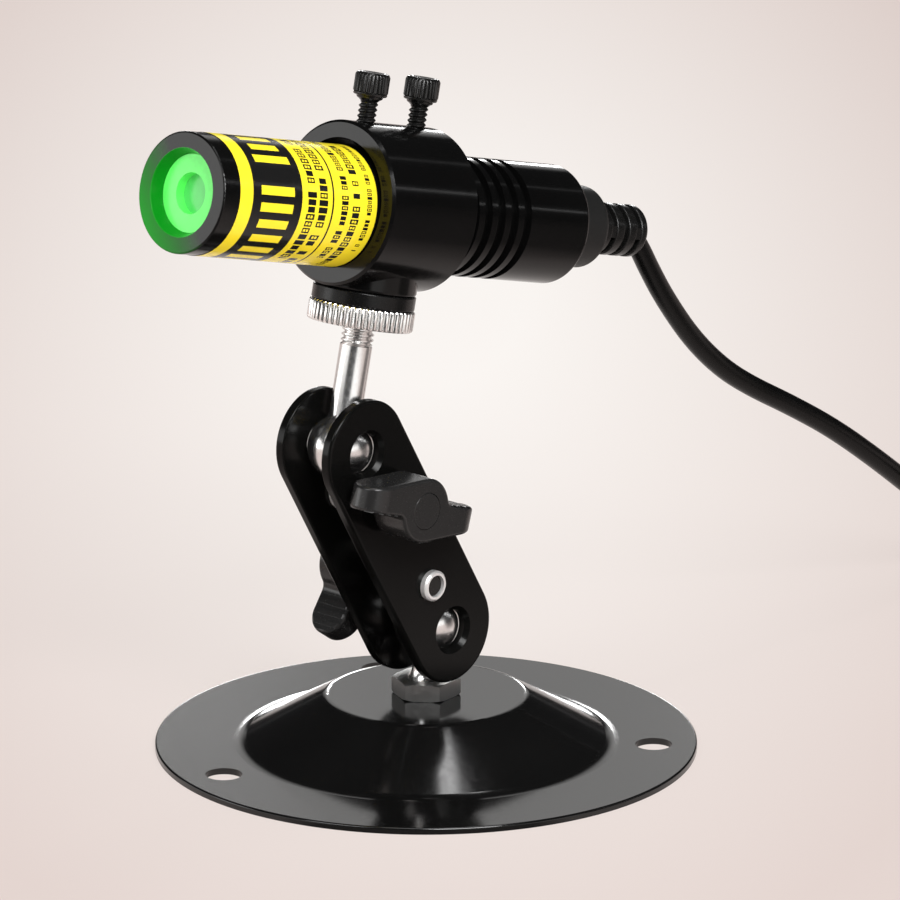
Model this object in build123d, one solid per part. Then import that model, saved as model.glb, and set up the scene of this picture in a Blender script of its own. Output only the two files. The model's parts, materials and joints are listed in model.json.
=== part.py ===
from build123d import *
import math
import os

os.makedirs("parts", exist_ok=True)

# A small laser head in a clamp ring, carried by a double ball arm on a pressed round foot.
# Lengths are millimetres and angles are degrees. +Z is up and z = 0 is the table.
# The origin is the centre of the foot. The arm swings in the YZ plane and the beam leaves towards -Y.

# Shared fits
running_gap = 0.05
hole_gap = 0.2
hidden_gap = 0.1
overrun = 4.0

# Pressed foot
foot_r = 50.0
sheet_t = 1.2
hub_foot_r = 34.3
hub_top_r = 18.5
hub_top_z = 10.1
hub_foot_fillet = 5.0
hub_top_fillet = 1.2
foot_rim_fillet = 0.4
foot_hole_r = 3.4
foot_hole_rim_share = 0.49
foot_hole_angles = (39.3, 145.5, 251.8)

# Ball studs and the nuts on them
ball_r = 6.0
stud_thread_r = 3.0
stud_end_bevel = 0.5
lower_ball_z = 23.85
lower_neck_r = 2.5
lower_flare_r = 3.5
lower_flare_h = 2.4
hex_nut_flats = 11.1
hex_nut_t = 3.2
hex_nut_turn = 36.4
hex_nut_bevel = 0.6
base_washer_r = 6.5
base_washer_t = 1.0
base_nut_flats = 10.0
base_nut_t = 4.4
stud_tail = 1.0
stud_shank_r = 2.98

# Arm plates and clamp screws
arm_lean = 30.18
ball_spacing = 44.92
plate_w = 20.0
plate_t = 2.1
plate_edge_fillet = 0.6
seat_hole_r = 3.75
seat_bevel = 0.8
clamp_offset = 11.7
clamp_screw_r = 2.0
clamp_head_r = 3.2
clamp_head_t = 2.6
insert_r = 2.85
insert_flange_r = 4.0
insert_flange_t = 1.0
insert_proud = 1.35
insert_bevel = 0.35
screw_end_recess = 0.4

# Wing knobs, in their own frame with z along the screw away from the plate
knob_hub_r = 6.0
knob_h = 9.3
knob_collar_r = 4.6
knob_collar_h = 1.3
wing_reach = 14.6
wing_t = 4.4
wing_offset = 0.65
wing_edge_fillet = 0.7
wing_root_fillet = 1.8
rib_count = 4
rib_inner_x = 7.2
rib_pitch = 1.95
rib_groove_w = 1.0
rib_groove_d = 0.35
cap_r = 3.4
cap_t = 0.8
upper_knob_turn = -17.0
lower_knob_turn = 55.0

# Upper stud, clamp ring and thumb screws, in a frame with z along the stud from the upper ball
stud_lean = 14.9
stud_side_lean = 1.7
laser_heading = 2.35
ring_axis_h = 44.34
ring_r = 15.0
ring_bore_r = 11.8
ring_len = 22.0
ring_edge_bevel = 0.5
boss_r = 9.4
boss_drop = 0.3
boss_fillet = 0.6
pad_r = 9.45
pad_t = 2.65
pad_edge_fillet = 0.3
knurl_r = 9.7
knurl_depth = 0.4
knurl_t = 3.9
knurl_count = 50
knurl_bevel = 0.3
exposed_thread = 3.4
stud_end_gap = 0.5
thumb_thread_r = 1.75
thumb_head_r = 3.2
thumb_head_h = 4.3
thumb_head_bevel = 0.4
thumb_collar_r = 2.5
thumb_collar_h = 0.6
thumb_exposed = 4.15
thumb_knurl_count = 26
thumb_knurl_depth = 0.22
thumb_from_ring_front = 4.6
thumb_spacing = 12.9
thumb_tip_gap = 0.15

# Laser head, in a frame with x along the tube from its front face
tube_r = 11.0
tube_drop = 0.6
front_barrel_len = 62.0
ring_back_from_joint = 1.5
tube_len = 94.1
tube_edge_fillet = 0.35
mouth_r = 8.0
mouth_throat_r = 7.05
mouth_depth = 2.3
aperture_r = 3.75
aperture_t = 2.0
lens_bore_r = 6.0
lens_bore_end = 20.0
barrel_bore_r = 9.0
label_start = 3.9
label_ring_gap = 0.2
label_t = 0.08
spigot_len = 8.0
rear_bore_r = 8.0
rear_wall_t = 3.2
fin_groove_start = 62.9
fin_groove_pitch = 3.4
fin_groove_w = 1.9
fin_groove_d = 1.3
fin_groove_count = 5
rear_edge_fillet = 1.0

# Optics and electronics inside the tube
lens_r = 5.0
lens_rim_t = 1.0
lens_crown = 1.1
lens_cell_wall_r = 4.2
lens_cell_len = 11.5
slug_nose_len = 4.0
slug_body_r = 8.9
slug_body_len = 8.0
slug_light_r = 2.2
can_flange_r = 2.8
can_flange_t = 1.2
can_r = 1.8
can_h = 2.4
can_pin_r = 0.22
can_pin_circle_r = 1.27
can_pin_len = 4.5
board_w = 13.6
board_t = 1.2
board_in_housing = 6.0
capacitor_r = 2.5
capacitor_h = 5.4
capacitor_from_front = 6.0
chip_len = 5.0
chip_w = 4.0
chip_h = 1.5
chip_from_front = 15.0
trimmer_w = 4.4
trimmer_h = 2.6
trimmer_from_front = 21.5

# Tail: gland collar and ribbed strain relief
collar_r = 7.6
collar_len = 9.0
collar_fillet = 1.4
relief_stem_r = 3.9
relief_r = 4.85
relief_len = 13.0
relief_rib_count = 3
relief_groove_start = 3.4
relief_groove_pitch = 3.25
relief_groove_w = 1.15
relief_groove_d = 1.0
relief_web_w = 2.2
relief_mouth_r = 3.0
relief_mouth_depth = 3.7
relief_end_fillet = 0.9

# Cord, its put-away coil and its barrel plug
cord_r = 2.0
cord_first_run = 3.25
cord_radius_share = 0.45
coil_middle_r = 22.0
coil_rows_across = 3
coil_layers = 2
coil_fillet = 1.2
plug_body_r = 5.0
plug_body_len = 20.0
plug_neck_len = 9.0
plug_nose_fillet = 0.8
plug_sleeve_r = 2.75
plug_sleeve_wall = 0.4
plug_sleeve_len = 9.5
plug_socket_r = 1.05

# Route of the cord from the strain relief to the coil, chosen along the photographed curve
lead_points = [
    (2.1, 55.4, 84.1),
    (2.0, 58.1, 79.6),
    (1.8, 62.7, 72.8),
    (1.4, 70.7, 63.2),
    (1.5, 79.0, 55.6),
    (1.8, 87.1, 50.2),
    (2.6, 97.4, 44.4),
    (3.4, 108.8, 37.4),
    (3.8, 121.0, 28.6),
    (3.2, 135.0, 18.1),
    (1.5, 149.2, 7.5),
    (-0.7, 161.0, 2.0),
    (-3.9, 172.4, 2.0),
]
# The free end, from the outer turn of the coil's upper layer to the plug
end_points = [
    (40.1, 197.2, 6.0),
    (48.1, 189.8, 5.6),
    (56.6, 183.4, 5.0),
    (66.0, 177.8, 5.0),
]
coil_centre = (21.2, 179.4, 0.0)

# Derived places
foot_hole_ring_r = hub_foot_r + foot_hole_rim_share * (foot_r - hub_foot_r)
half_gap = math.sqrt((ball_r + running_gap) ** 2 - seat_hole_r**2)
plate_outer_x = half_gap + plate_t
lower_ball = Vector(0, 0, lower_ball_z)
arm_dir = Vector(0, -math.sin(math.radians(arm_lean)), math.cos(math.radians(arm_lean)))
upper_ball = lower_ball + arm_dir * ball_spacing
arm_plane = Plane(origin=lower_ball, x_dir=(1, 0, 0), z_dir=arm_dir)


def stud_direction():
    side = math.radians(stud_side_lean)
    back = math.radians(stud_lean)
    return Vector(-math.sin(side), math.cos(side) * math.sin(back), math.cos(side) * math.cos(back))


def backward_direction(stud_dir):
    turn = math.radians(laser_heading)
    heading = Vector(math.sin(turn), math.cos(turn), 0)
    return (heading - stud_dir * heading.dot(stud_dir)).normalized()


stud_dir = stud_direction()
back_dir = backward_direction(stud_dir)
stud_plane = Plane(origin=upper_ball, x_dir=back_dir, z_dir=stud_dir)
tube_axis_h = ring_axis_h - tube_drop
ring_front_from_face = front_barrel_len - ring_back_from_joint - ring_len
label_end = ring_front_from_face - label_ring_gap
board_start = lens_bore_end + slug_body_len
board_len = front_barrel_len - spigot_len + board_in_housing - board_start
face_from_stud = ring_front_from_face + ring_len / 2
tube_front = upper_ball + stud_dir * tube_axis_h - back_dir * face_from_stud
# x runs along the stud and z along the tube, so turned profiles are drawn about z
tube_plane = Plane(origin=tube_front, x_dir=stud_dir, z_dir=back_dir)
pad_bottom = ring_axis_h - ring_r - boss_drop - pad_t
knurl_bottom = pad_bottom - running_gap - knurl_t
hex_nut_z = hub_top_z + running_gap
base_washer_z = hub_top_z - sheet_t - running_gap - base_washer_t
base_nut_z = base_washer_z - base_nut_t


def rod(radius, length, start=0.0):
    return Pos(0, 0, start) * Cylinder(radius, length, align=(Align.CENTER, Align.CENTER, Align.MIN))


def sleeve(outer_r, inner_r, length, start=0.0):
    return rod(outer_r, length, start) - rod(inner_r, length + 2 * overrun, start - overrun)


def turned(points):
    return revolve(Plane.XZ * make_face(Polyline(*points, close=True)), Axis.Z)


def rim_edges(shape, radius, z):
    near = [e for e in shape.edges().filter_by(GeomType.CIRCLE) if abs(e.radius - radius) < hole_gap / 2]
    return [e for e in near if abs(e.center().Z - z) < hole_gap / 2]


def foot_plate():
    drop = hub_top_z - sheet_t
    slope = math.atan2(drop, hub_foot_r - hub_top_r)
    inset = sheet_t * math.tan(slope / 2)
    hole_r = stud_thread_r + hole_gap
    corners = [
        (hole_r, hub_top_z),
        (hub_top_r, hub_top_z),
        (hub_foot_r, sheet_t),
        (foot_r, sheet_t),
        (foot_r, 0),
        (hub_foot_r - inset, 0),
        (hub_top_r - inset, drop),
        (hole_r, drop),
    ]
    face = make_face(Polyline(*corners, close=True))
    radii = {
        corners[1]: hub_top_fillet + sheet_t,
        corners[2]: hub_foot_fillet,
        corners[3]: foot_rim_fillet,
        corners[5]: hub_foot_fillet + sheet_t,
        corners[6]: hub_top_fillet,
    }
    for corner, radius in radii.items():
        face = fillet(face.vertices().sort_by_distance((*corner, 0))[0], radius)
    plate = revolve(Plane.XZ * face, Axis.Z)
    for angle in foot_hole_angles:
        plate -= Rot(0, 0, angle) * Pos(foot_hole_ring_r, 0, 0) * rod(foot_hole_r, 2 * overrun, -overrun)
    return plate


def hex_nut(flats, thickness, bore_r, bevel):
    corner_r = flats / 2 / math.cos(math.pi / 6)
    prism = extrude(RegularPolygon(corner_r, 6), thickness)
    blank = rod(corner_r, thickness)
    blank = chamfer(blank.edges().filter_by(GeomType.CIRCLE), bevel / 2, bevel)
    return (prism & blank) - rod(bore_r, thickness + 2 * overrun, -overrun)


def lower_stud():
    nut_top = hex_nut_z + hex_nut_t
    tail_z = base_nut_z - stud_tail
    flare_top = nut_top + lower_flare_h
    shank = turned(
        [
            (0, tail_z),
            (stud_thread_r - stud_end_bevel, tail_z),
            (stud_thread_r, tail_z + stud_end_bevel),
            (stud_thread_r, nut_top),
            (lower_flare_r, nut_top),
            (lower_neck_r, flare_top),
            (lower_neck_r, lower_ball_z),
            (0, lower_ball_z),
        ]
    )
    return shank + Pos(0, 0, lower_ball_z) * Sphere(ball_r)


def arm_plate(knob_at, insert_at):
    # Drawn in the arm frame on the +x side, with z from the lower ball to the upper one
    side = Plane(origin=(half_gap, 0, ball_spacing / 2), x_dir=(0, 0, 1), z_dir=(1, 0, 0))
    plate = extrude(side * SlotCenterToCenter(ball_spacing, plate_w), plate_t)
    plate = fillet(plate.faces().sort_by(Axis.X)[-1].edges(), plate_edge_fillet)
    plate = fillet(plate.faces().sort_by(Axis.X)[0].edges(), plate_edge_fillet / 2)
    across = Rot(0, 90, 0)
    for z in (0, ball_spacing):
        seat = Pos(0, 0, z) * across * rod(seat_hole_r, plate_outer_x + overrun)
        bevel = Pos(plate_outer_x - seat_bevel, 0, z) * across * Cone(
            seat_hole_r,
            seat_hole_r + seat_bevel + overrun,
            seat_bevel + overrun,
            align=(Align.CENTER, Align.CENTER, Align.MIN),
        )
        plate -= seat + bevel
    plate -= Pos(0, 0, knob_at) * across * rod(clamp_screw_r + hole_gap, plate_outer_x + overrun)
    plate -= Pos(0, 0, insert_at) * across * rod(insert_r, plate_outer_x + overrun)
    return plate


def threaded_insert():
    # z runs outward from the arm's middle plane
    barrel = rod(insert_r, plate_t + insert_proud, half_gap)
    barrel = chamfer(barrel.edges().group_by(Axis.Z)[-1], insert_bevel)
    flange = rod(insert_flange_r, insert_flange_t, half_gap - insert_flange_t)
    bore = rod(clamp_screw_r + running_gap, ball_spacing, 0)
    return barrel + flange - bore


def clamp_screw():
    # z runs outward from the arm's middle plane towards the knob, with the point on the far side
    point_z = -(plate_outer_x + insert_proud - screw_end_recess)
    head_top = plate_outer_x + knob_h - cap_t
    head_z = head_top - clamp_head_t
    point = rod(clamp_screw_r, head_z - point_z, point_z)
    point = chamfer(point.edges().group_by(Axis.Z)[0], insert_bevel)
    head = Pos(0, 0, head_z) * extrude(RegularPolygon(clamp_head_r, 6), clamp_head_t)
    return point + head


def wings():
    # Two wings a little off centre, so that one flank of each sweeps straight into the hub's round
    top, bottom = wing_t / 2 - wing_offset, -wing_t / 2 - wing_offset
    tip_distance = math.hypot(wing_reach, bottom)
    touch = math.atan2(bottom, wing_reach) - math.acos(knob_hub_r / tip_distance)
    sweep_end = (knob_hub_r * math.cos(touch), knob_hub_r * math.sin(touch))
    wing = make_face(Polyline((0, top), (wing_reach, top), (wing_reach, bottom), sweep_end, (0, 0), close=True))
    outline = Circle(knob_hub_r) + wing + Rot(0, 0, 180) * wing
    corners = [
        v for v in outline.vertices() if abs(abs(v.Y) - top) < hole_gap and abs(v.X) < knob_hub_r
    ]
    outline = fillet(corners, wing_root_fillet)
    depth = knob_h - knob_collar_h
    side_view = Plane.XZ * Pos(0, knob_collar_h + depth / 2) * SlotOverall(2 * wing_reach, depth)
    body = Pos(0, 0, knob_collar_h) * extrude(outline, depth)
    body &= extrude(side_view, knob_hub_r + overrun, both=True)
    rims = body.edges() - body.edges().filter_by(Axis.Y) - body.edges().filter_by(Axis.Z)
    return fillet(rims, wing_edge_fillet)


def rib_grooves():
    # Grip grooves on the two flanks that are pushed when the knob is tightened
    cutter = Box(rib_groove_w, 2 * rib_groove_d, knob_h + 2 * overrun)
    flank = wing_t / 2 - wing_offset
    cutters = Part()
    for index in range(rib_count):
        x = rib_inner_x + index * rib_pitch + rib_groove_w / 2
        cutters += Pos(x, flank, knob_h / 2) * cutter
        cutters += Pos(-x, -flank, knob_h / 2) * cutter
    return cutters


def wing_knob():
    collar = rod(knob_collar_r, knob_collar_h - running_gap, running_gap)
    knob = wings() + collar - rib_grooves()
    knob -= rod(cap_r + running_gap, cap_t + overrun, knob_h - cap_t)
    screw_in_knob = Pos(0, 0, -plate_outer_x) * clamp_screw()
    return knob - screw_in_knob


def knob_cap():
    cap = rod(cap_r, cap_t, knob_h - cap_t)
    return fillet(cap.edges().group_by(Axis.Z)[-1], cap_t / 4)


def knob_frame(side, along_arm, turn):
    # z points out of the plate on the knob's side, and x lies along the wings
    angle = math.radians(turn)
    wing_dir = (0, math.cos(angle), math.sin(angle))
    middle = lower_ball + arm_dir * along_arm
    return Plane(origin=middle + Vector(side * plate_outer_x, 0, 0), x_dir=wing_dir, z_dir=(side, 0, 0))


def screw_frame(side, along_arm):
    # z points out of the arm's middle plane on the given side
    middle = lower_ball + arm_dir * along_arm
    return Plane(origin=middle, x_dir=arm_dir, z_dir=(side, 0, 0))


def upper_stud():
    thread_z = knurl_bottom - exposed_thread
    end_z = ring_axis_h - ring_bore_r - stud_end_gap
    shank = turned(
        [
            (0, 0),
            (stud_shank_r, 0),
            (stud_shank_r, thread_z),
            (stud_thread_r, thread_z),
            (stud_thread_r, end_z - stud_end_bevel),
            (stud_thread_r - stud_end_bevel, end_z),
            (0, end_z),
        ]
    )
    return shank + Sphere(ball_r)


def toothed(radius, depth, count, height):
    # A straight knurl: each tooth rises from a narrow valley to a flat crest
    tooth_shares = (0.0, 0.22, 0.78)
    step = 2 * math.pi / count
    points = []
    for tooth in range(count):
        for share, r in zip(tooth_shares, (radius - depth, radius, radius)):
            angle = (tooth + share) * step
            points.append((r * math.cos(angle), r * math.sin(angle)))
    return extrude(make_face(Polyline(*points, close=True)), height)


def bevelled_blank(radius, height, bevel):
    return chamfer(rod(radius, height).edges().filter_by(GeomType.CIRCLE), bevel)


def knurled_nut():
    nut = toothed(knurl_r, knurl_depth, knurl_count, knurl_t)
    nut &= bevelled_blank(knurl_r, knurl_t, knurl_bevel)
    return Pos(0, 0, knurl_bottom) * (nut - rod(stud_thread_r + running_gap, knurl_t + overrun))


def pad_washer():
    pad = sleeve(pad_r, stud_thread_r + hole_gap, pad_t, pad_bottom)
    rims = [e for e in pad.edges().filter_by(GeomType.CIRCLE) if e.radius > boss_r]
    return fillet(rims, pad_edge_fillet)


def along_ring(shape):
    # Lays a shape drawn about z along the ring's axis, centred on the stud
    return Pos(0, 0, ring_axis_h) * Rot(0, 90, 0) * shape


def thumb_screw_places():
    front = thumb_from_ring_front - ring_len / 2
    return {"thumb_screw_front": front, "thumb_screw_rear": front + thumb_spacing}


def holder_ring():
    body = along_ring(chamfer(rod(ring_r, ring_len, -ring_len / 2).edges(), ring_edge_bevel))
    boss_z = ring_axis_h - ring_r - boss_drop
    boss = fillet(rod(boss_r, ring_r, boss_z).edges().group_by(Axis.Z)[0], boss_fillet)
    bore = along_ring(rod(ring_bore_r, ring_len + 2 * overrun, -ring_len / 2 - overrun))
    ring = body + boss - bore - rod(stud_thread_r + running_gap, ring_axis_h)
    for x in thumb_screw_places().values():
        ring -= Pos(x, 0, ring_axis_h) * rod(thumb_thread_r + running_gap, ring_r + overrun)
    return ring


def thumb_screw(x):
    tip_z = tube_axis_h + tube_r + label_t + thumb_tip_gap
    shoulder_z = ring_axis_h + ring_r + thumb_exposed
    head_z = shoulder_z + thumb_collar_h
    thread = rod(thumb_thread_r, shoulder_z - tip_z, tip_z)
    thread = chamfer(thread.edges().group_by(Axis.Z)[0], thumb_knurl_depth)
    collar = rod(thumb_collar_r, thumb_collar_h, shoulder_z)
    head = toothed(thumb_head_r, thumb_knurl_depth, thumb_knurl_count, thumb_head_h)
    head &= bevelled_blank(thumb_head_r, thumb_head_h, thumb_head_bevel)
    return Pos(x, 0, 0) * (thread + collar + Pos(0, 0, head_z) * head)


def front_barrel():
    barrel = rod(tube_r, front_barrel_len)
    barrel = fillet(barrel.edges().group_by(Axis.Z)[0], tube_edge_fillet)
    seat_end = mouth_depth + aperture_t
    bore = turned(
        [
            (0, 0),
            (mouth_r, 0),
            (mouth_throat_r, mouth_depth),
            (mouth_throat_r, seat_end),
            (lens_bore_r, seat_end),
            (lens_bore_r, lens_bore_end),
            (barrel_bore_r, lens_bore_end),
            (barrel_bore_r, front_barrel_len),
            (0, front_barrel_len),
        ]
    )
    return barrel - bore


def rear_housing():
    spigot = rod(barrel_bore_r - hidden_gap, spigot_len, front_barrel_len - spigot_len)
    shell = rod(tube_r, tube_len - front_barrel_len, front_barrel_len)
    shell = fillet(shell.edges().group_by(Axis.Z)[-1], rear_edge_fillet)
    housing = spigot + shell
    for index in range(fin_groove_count):
        start = fin_groove_start + index * fin_groove_pitch
        housing -= sleeve(tube_r + overrun, tube_r - fin_groove_d, fin_groove_w, start)
    bore_len = tube_len - rear_wall_t - (front_barrel_len - spigot_len)
    housing -= rod(rear_bore_r, bore_len + overrun, front_barrel_len - spigot_len - overrun)
    return housing - rod(relief_stem_r, rear_wall_t + 2 * overrun, tube_len - rear_wall_t - overrun)


def label_wrap():
    return sleeve(tube_r + label_t, tube_r, label_end - label_start, label_start)


def aperture_ring():
    return sleeve(mouth_throat_r, aperture_r, aperture_t, mouth_depth)


def lens():
    # Flat side forward, crown towards the diode
    start = mouth_depth + aperture_t
    bulge_r = (lens_r**2 + lens_crown**2) / (2 * lens_crown)
    centre_z = start + lens_rim_t + lens_crown - bulge_r
    ball = Pos(0, 0, centre_z) * Sphere(bulge_r)
    return rod(lens_r, lens_rim_t + lens_crown, start) & ball


def lens_cell():
    start = mouth_depth + aperture_t
    cell = rod(lens_bore_r, lens_cell_len, start)
    seat = rod(lens_r + running_gap, lens_rim_t + lens_crown + overrun, start - overrun)
    return cell - seat - rod(lens_cell_wall_r, lens_cell_len + overrun, start)


def slug_nose_start():
    return lens_bore_end - slug_nose_len


def diode_slug():
    start = slug_nose_start()
    slug = turned(
        [
            (0, start),
            (lens_bore_r, start),
            (lens_bore_r, lens_bore_end),
            (slug_body_r, lens_bore_end),
            (slug_body_r, lens_bore_end + slug_body_len),
            (0, lens_bore_end + slug_body_len),
        ]
    )
    pocket = rod(can_flange_r + running_gap, slug_body_len + overrun, lens_bore_end)
    return slug - pocket - rod(slug_light_r, slug_nose_len + 2 * overrun, start - overrun)


def laser_diode():
    flange = rod(can_flange_r, can_flange_t, lens_bore_end)
    can = rod(can_r, can_h, lens_bore_end - can_h)
    diode = flange + can
    for angle in (0, 90, 180):
        pin = rod(can_pin_r, can_pin_len, lens_bore_end + can_flange_t)
        diode += Rot(0, 0, angle) * Pos(can_pin_circle_r, 0, 0) * pin
    return diode


def driver_board():
    # In the tube frame x points up, so the board's thickness is along x
    board = Box(board_t, board_w, board_len, align=(Align.CENTER, Align.CENTER, Align.MIN))
    return Pos(0, 0, board_start) * board


def board_capacitor():
    top = Pos(board_t / 2, 0, board_start + capacitor_from_front) * Rot(0, 90, 0)
    return top * rod(capacitor_r, capacitor_h)


def on_board(length, width, height, from_front):
    block = Box(height, width, length, align=(Align.MIN, Align.CENTER, Align.CENTER))
    return Pos(board_t / 2, 0, board_start + from_front) * block


def tail_collar():
    collar = rod(collar_r, collar_len, tube_len)
    collar = fillet(collar.edges().group_by(Axis.Z)[-1], collar_fillet)
    return collar - rod(relief_stem_r, collar_len + 2 * overrun, tube_len - overrun)


def strain_relief():
    start = tube_len + collar_len
    stem = rod(relief_stem_r, collar_len + rear_wall_t, tube_len - rear_wall_t)
    boot = rod(relief_r, relief_len, start)
    boot = fillet(boot.edges().group_by(Axis.Z)[-1], relief_end_fillet)
    relief = stem + boot
    for index in range(relief_rib_count):
        groove_z = start + relief_groove_start + index * relief_groove_pitch
        groove = sleeve(relief_r + overrun, relief_r - relief_groove_d, relief_groove_w, groove_z)
        # Two webs cross each groove, turned a quarter from one groove to the next
        web = Box(relief_web_w, 4 * relief_r, 2 * relief_groove_w)
        relief -= groove - Pos(0, 0, groove_z + relief_groove_w / 2) * Rot(0, 0, 90 * index) * web
    mouth_start = start + relief_len - relief_mouth_depth
    return relief - rod(relief_mouth_r, relief_mouth_depth + overrun, mouth_start)


def corner_radii(points):
    radii = []
    for before, corner, after in zip(points, points[1:], points[2:]):
        arrive, leave = corner - before, after - corner
        half_turn = math.radians(arrive.get_angle(leave)) / 2
        radii.append(cord_radius_share * min(arrive.length, leave.length) / math.tan(half_turn))
    return radii


def cord_tube(name, points):
    radii = corner_radii(points)
    path = FilletPolyline(*points, radius=radii)
    start = Plane(origin=points[0], z_dir=points[1] - points[0])
    tube = sweep(start * Circle(cord_r), path=path)
    plain_volume = math.pi * cord_r**2 * path.length
    print(name, "length", round(path.length, 1), "radii", [round(r, 1) for r in radii])
    print(name, "volume over section times length", round(tube.volume / plain_volume, 4))
    return tube


def cord_exit():
    relief_end = tube_len + collar_len + relief_len - relief_mouth_depth
    return tube_front + back_dir * relief_end


def coil():
    half_width = coil_rows_across * cord_r
    height = coil_layers * 2 * cord_r
    section = Pos(coil_middle_r, height / 2) * RectangleRounded(2 * half_width, height, coil_fillet)
    return Pos(*coil_centre) * revolve(Plane.XZ * section, Axis.Z)


def cord_lead():
    exit_point = cord_exit()
    points = [exit_point, exit_point + back_dir * cord_first_run] + [Vector(*p) for p in lead_points]
    return cord_tube("cord_lead", points) - coil()


def cord_end():
    return cord_tube("cord_end", [Vector(*p) for p in end_points]) - coil()


def plug_plane():
    before, last = (Vector(*p) for p in end_points[-2:])
    level = Vector(last.X - before.X, last.Y - before.Y, 0)
    return Plane(origin=last, x_dir=(0, 0, 1), z_dir=level)


def plug_body():
    total = plug_neck_len + plug_body_len
    body = turned(
        [
            (0, 0),
            (cord_r + cord_r / 2, 0),
            (plug_body_r - plug_nose_fillet, plug_neck_len),
            (plug_body_r, plug_neck_len + plug_nose_fillet),
            (plug_body_r, total - plug_nose_fillet),
            (plug_body_r - plug_nose_fillet, total),
            (0, total),
        ]
    )
    return body


def plug_sleeve():
    start = plug_neck_len + plug_body_len
    return sleeve(plug_sleeve_r, plug_sleeve_r - plug_sleeve_wall, plug_sleeve_len, start)


def plug_insulator():
    start = plug_neck_len + plug_body_len
    return sleeve(plug_sleeve_r - plug_sleeve_wall, plug_socket_r, plug_sleeve_len, start)


def mirrored_plate(plate):
    return mirror(plate, Plane.YZ)


upper_knob_at = ball_spacing - clamp_offset
lower_knob_at = clamp_offset
upper_knob = knob_frame(1, upper_knob_at, upper_knob_turn)
lower_knob = knob_frame(-1, lower_knob_at, lower_knob_turn)
to_arm_middle = Pos(0, 0, -plate_outer_x)
nut_bore_r = stud_thread_r + running_gap

nodes = {
    "foot_plate": foot_plate(),
    "hex_lock_nut": Pos(0, 0, hex_nut_z)
    * Rot(0, 0, hex_nut_turn)
    * hex_nut(hex_nut_flats, hex_nut_t, nut_bore_r, hex_nut_bevel),
    "base_washer": sleeve(base_washer_r, nut_bore_r, base_washer_t, base_washer_z),
    "base_nut": Pos(0, 0, base_nut_z) * hex_nut(base_nut_flats, base_nut_t, nut_bore_r, hex_nut_bevel),
    "lower_ball_stud": lower_stud(),
    "front_arm_plate": arm_plane * arm_plate(upper_knob_at, lower_knob_at),
    "back_arm_plate": arm_plane * mirrored_plate(arm_plate(lower_knob_at, upper_knob_at)),
    "upper_insert": screw_frame(-1, upper_knob_at) * threaded_insert(),
    "lower_insert": screw_frame(1, lower_knob_at) * threaded_insert(),
    "upper_clamp_screw": upper_knob * to_arm_middle * clamp_screw(),
    "lower_clamp_screw": lower_knob * to_arm_middle * clamp_screw(),
    "upper_wing_knob": upper_knob * wing_knob(),
    "lower_wing_knob": lower_knob * wing_knob(),
    "upper_knob_cap": upper_knob * knob_cap(),
    "lower_knob_cap": lower_knob * knob_cap(),
    "upper_ball_stud": stud_plane * upper_stud(),
    "knurled_nut": stud_plane * knurled_nut(),
    "pad_washer": stud_plane * pad_washer(),
    "holder_ring": stud_plane * holder_ring(),
    "front_barrel": tube_plane * front_barrel(),
    "label_wrap": tube_plane * label_wrap(),
    "aperture_ring": tube_plane * aperture_ring(),
    "lens": tube_plane * lens(),
    "lens_cell": tube_plane * lens_cell(),
    "diode_slug": tube_plane * diode_slug(),
    "laser_diode": tube_plane * laser_diode(),
    "driver_board": tube_plane * driver_board(),
    "board_capacitor": tube_plane * board_capacitor(),
    "board_chip": tube_plane * on_board(chip_len, chip_w, chip_h, chip_from_front),
    "board_trimmer": tube_plane * on_board(trimmer_w, trimmer_w, trimmer_h, trimmer_from_front),
    "rear_housing": tube_plane * rear_housing(),
    "tail_collar": tube_plane * tail_collar(),
    "strain_relief": tube_plane * strain_relief(),
    "cord_lead": cord_lead(),
    "cord_coil": coil(),
    "cord_end": cord_end(),
    "plug_body": plug_plane() * plug_body(),
    "plug_sleeve": plug_plane() * plug_sleeve(),
    "plug_insulator": plug_plane() * plug_insulator(),
}
for screw_name, place in thumb_screw_places().items():
    nodes[screw_name] = stud_plane * thumb_screw(place)

for name, shape in nodes.items():
    export_step(shape, f"parts/{name}.step")
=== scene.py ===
import json
import math

import bmesh
import bpy
from mathutils import Matrix, Vector


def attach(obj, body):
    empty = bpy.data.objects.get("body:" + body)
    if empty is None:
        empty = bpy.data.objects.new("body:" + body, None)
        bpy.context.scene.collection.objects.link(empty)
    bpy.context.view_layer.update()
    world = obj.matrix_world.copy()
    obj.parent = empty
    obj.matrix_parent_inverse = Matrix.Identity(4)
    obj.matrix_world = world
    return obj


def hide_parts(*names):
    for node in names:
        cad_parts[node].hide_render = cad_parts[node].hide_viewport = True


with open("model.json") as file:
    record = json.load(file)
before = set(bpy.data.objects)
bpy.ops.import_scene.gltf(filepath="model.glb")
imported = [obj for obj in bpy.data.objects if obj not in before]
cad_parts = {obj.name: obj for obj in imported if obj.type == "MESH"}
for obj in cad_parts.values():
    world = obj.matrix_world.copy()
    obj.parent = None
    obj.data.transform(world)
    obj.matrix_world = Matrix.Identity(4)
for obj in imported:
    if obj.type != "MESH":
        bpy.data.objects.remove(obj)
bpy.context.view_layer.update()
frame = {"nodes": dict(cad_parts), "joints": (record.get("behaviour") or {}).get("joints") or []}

# Sizes are in millimetres, and mm turns them into the scene's metres
mm = 0.001
nodes = frame["nodes"]
joints = {joint["name"]: joint for joint in frame["joints"]}

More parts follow.
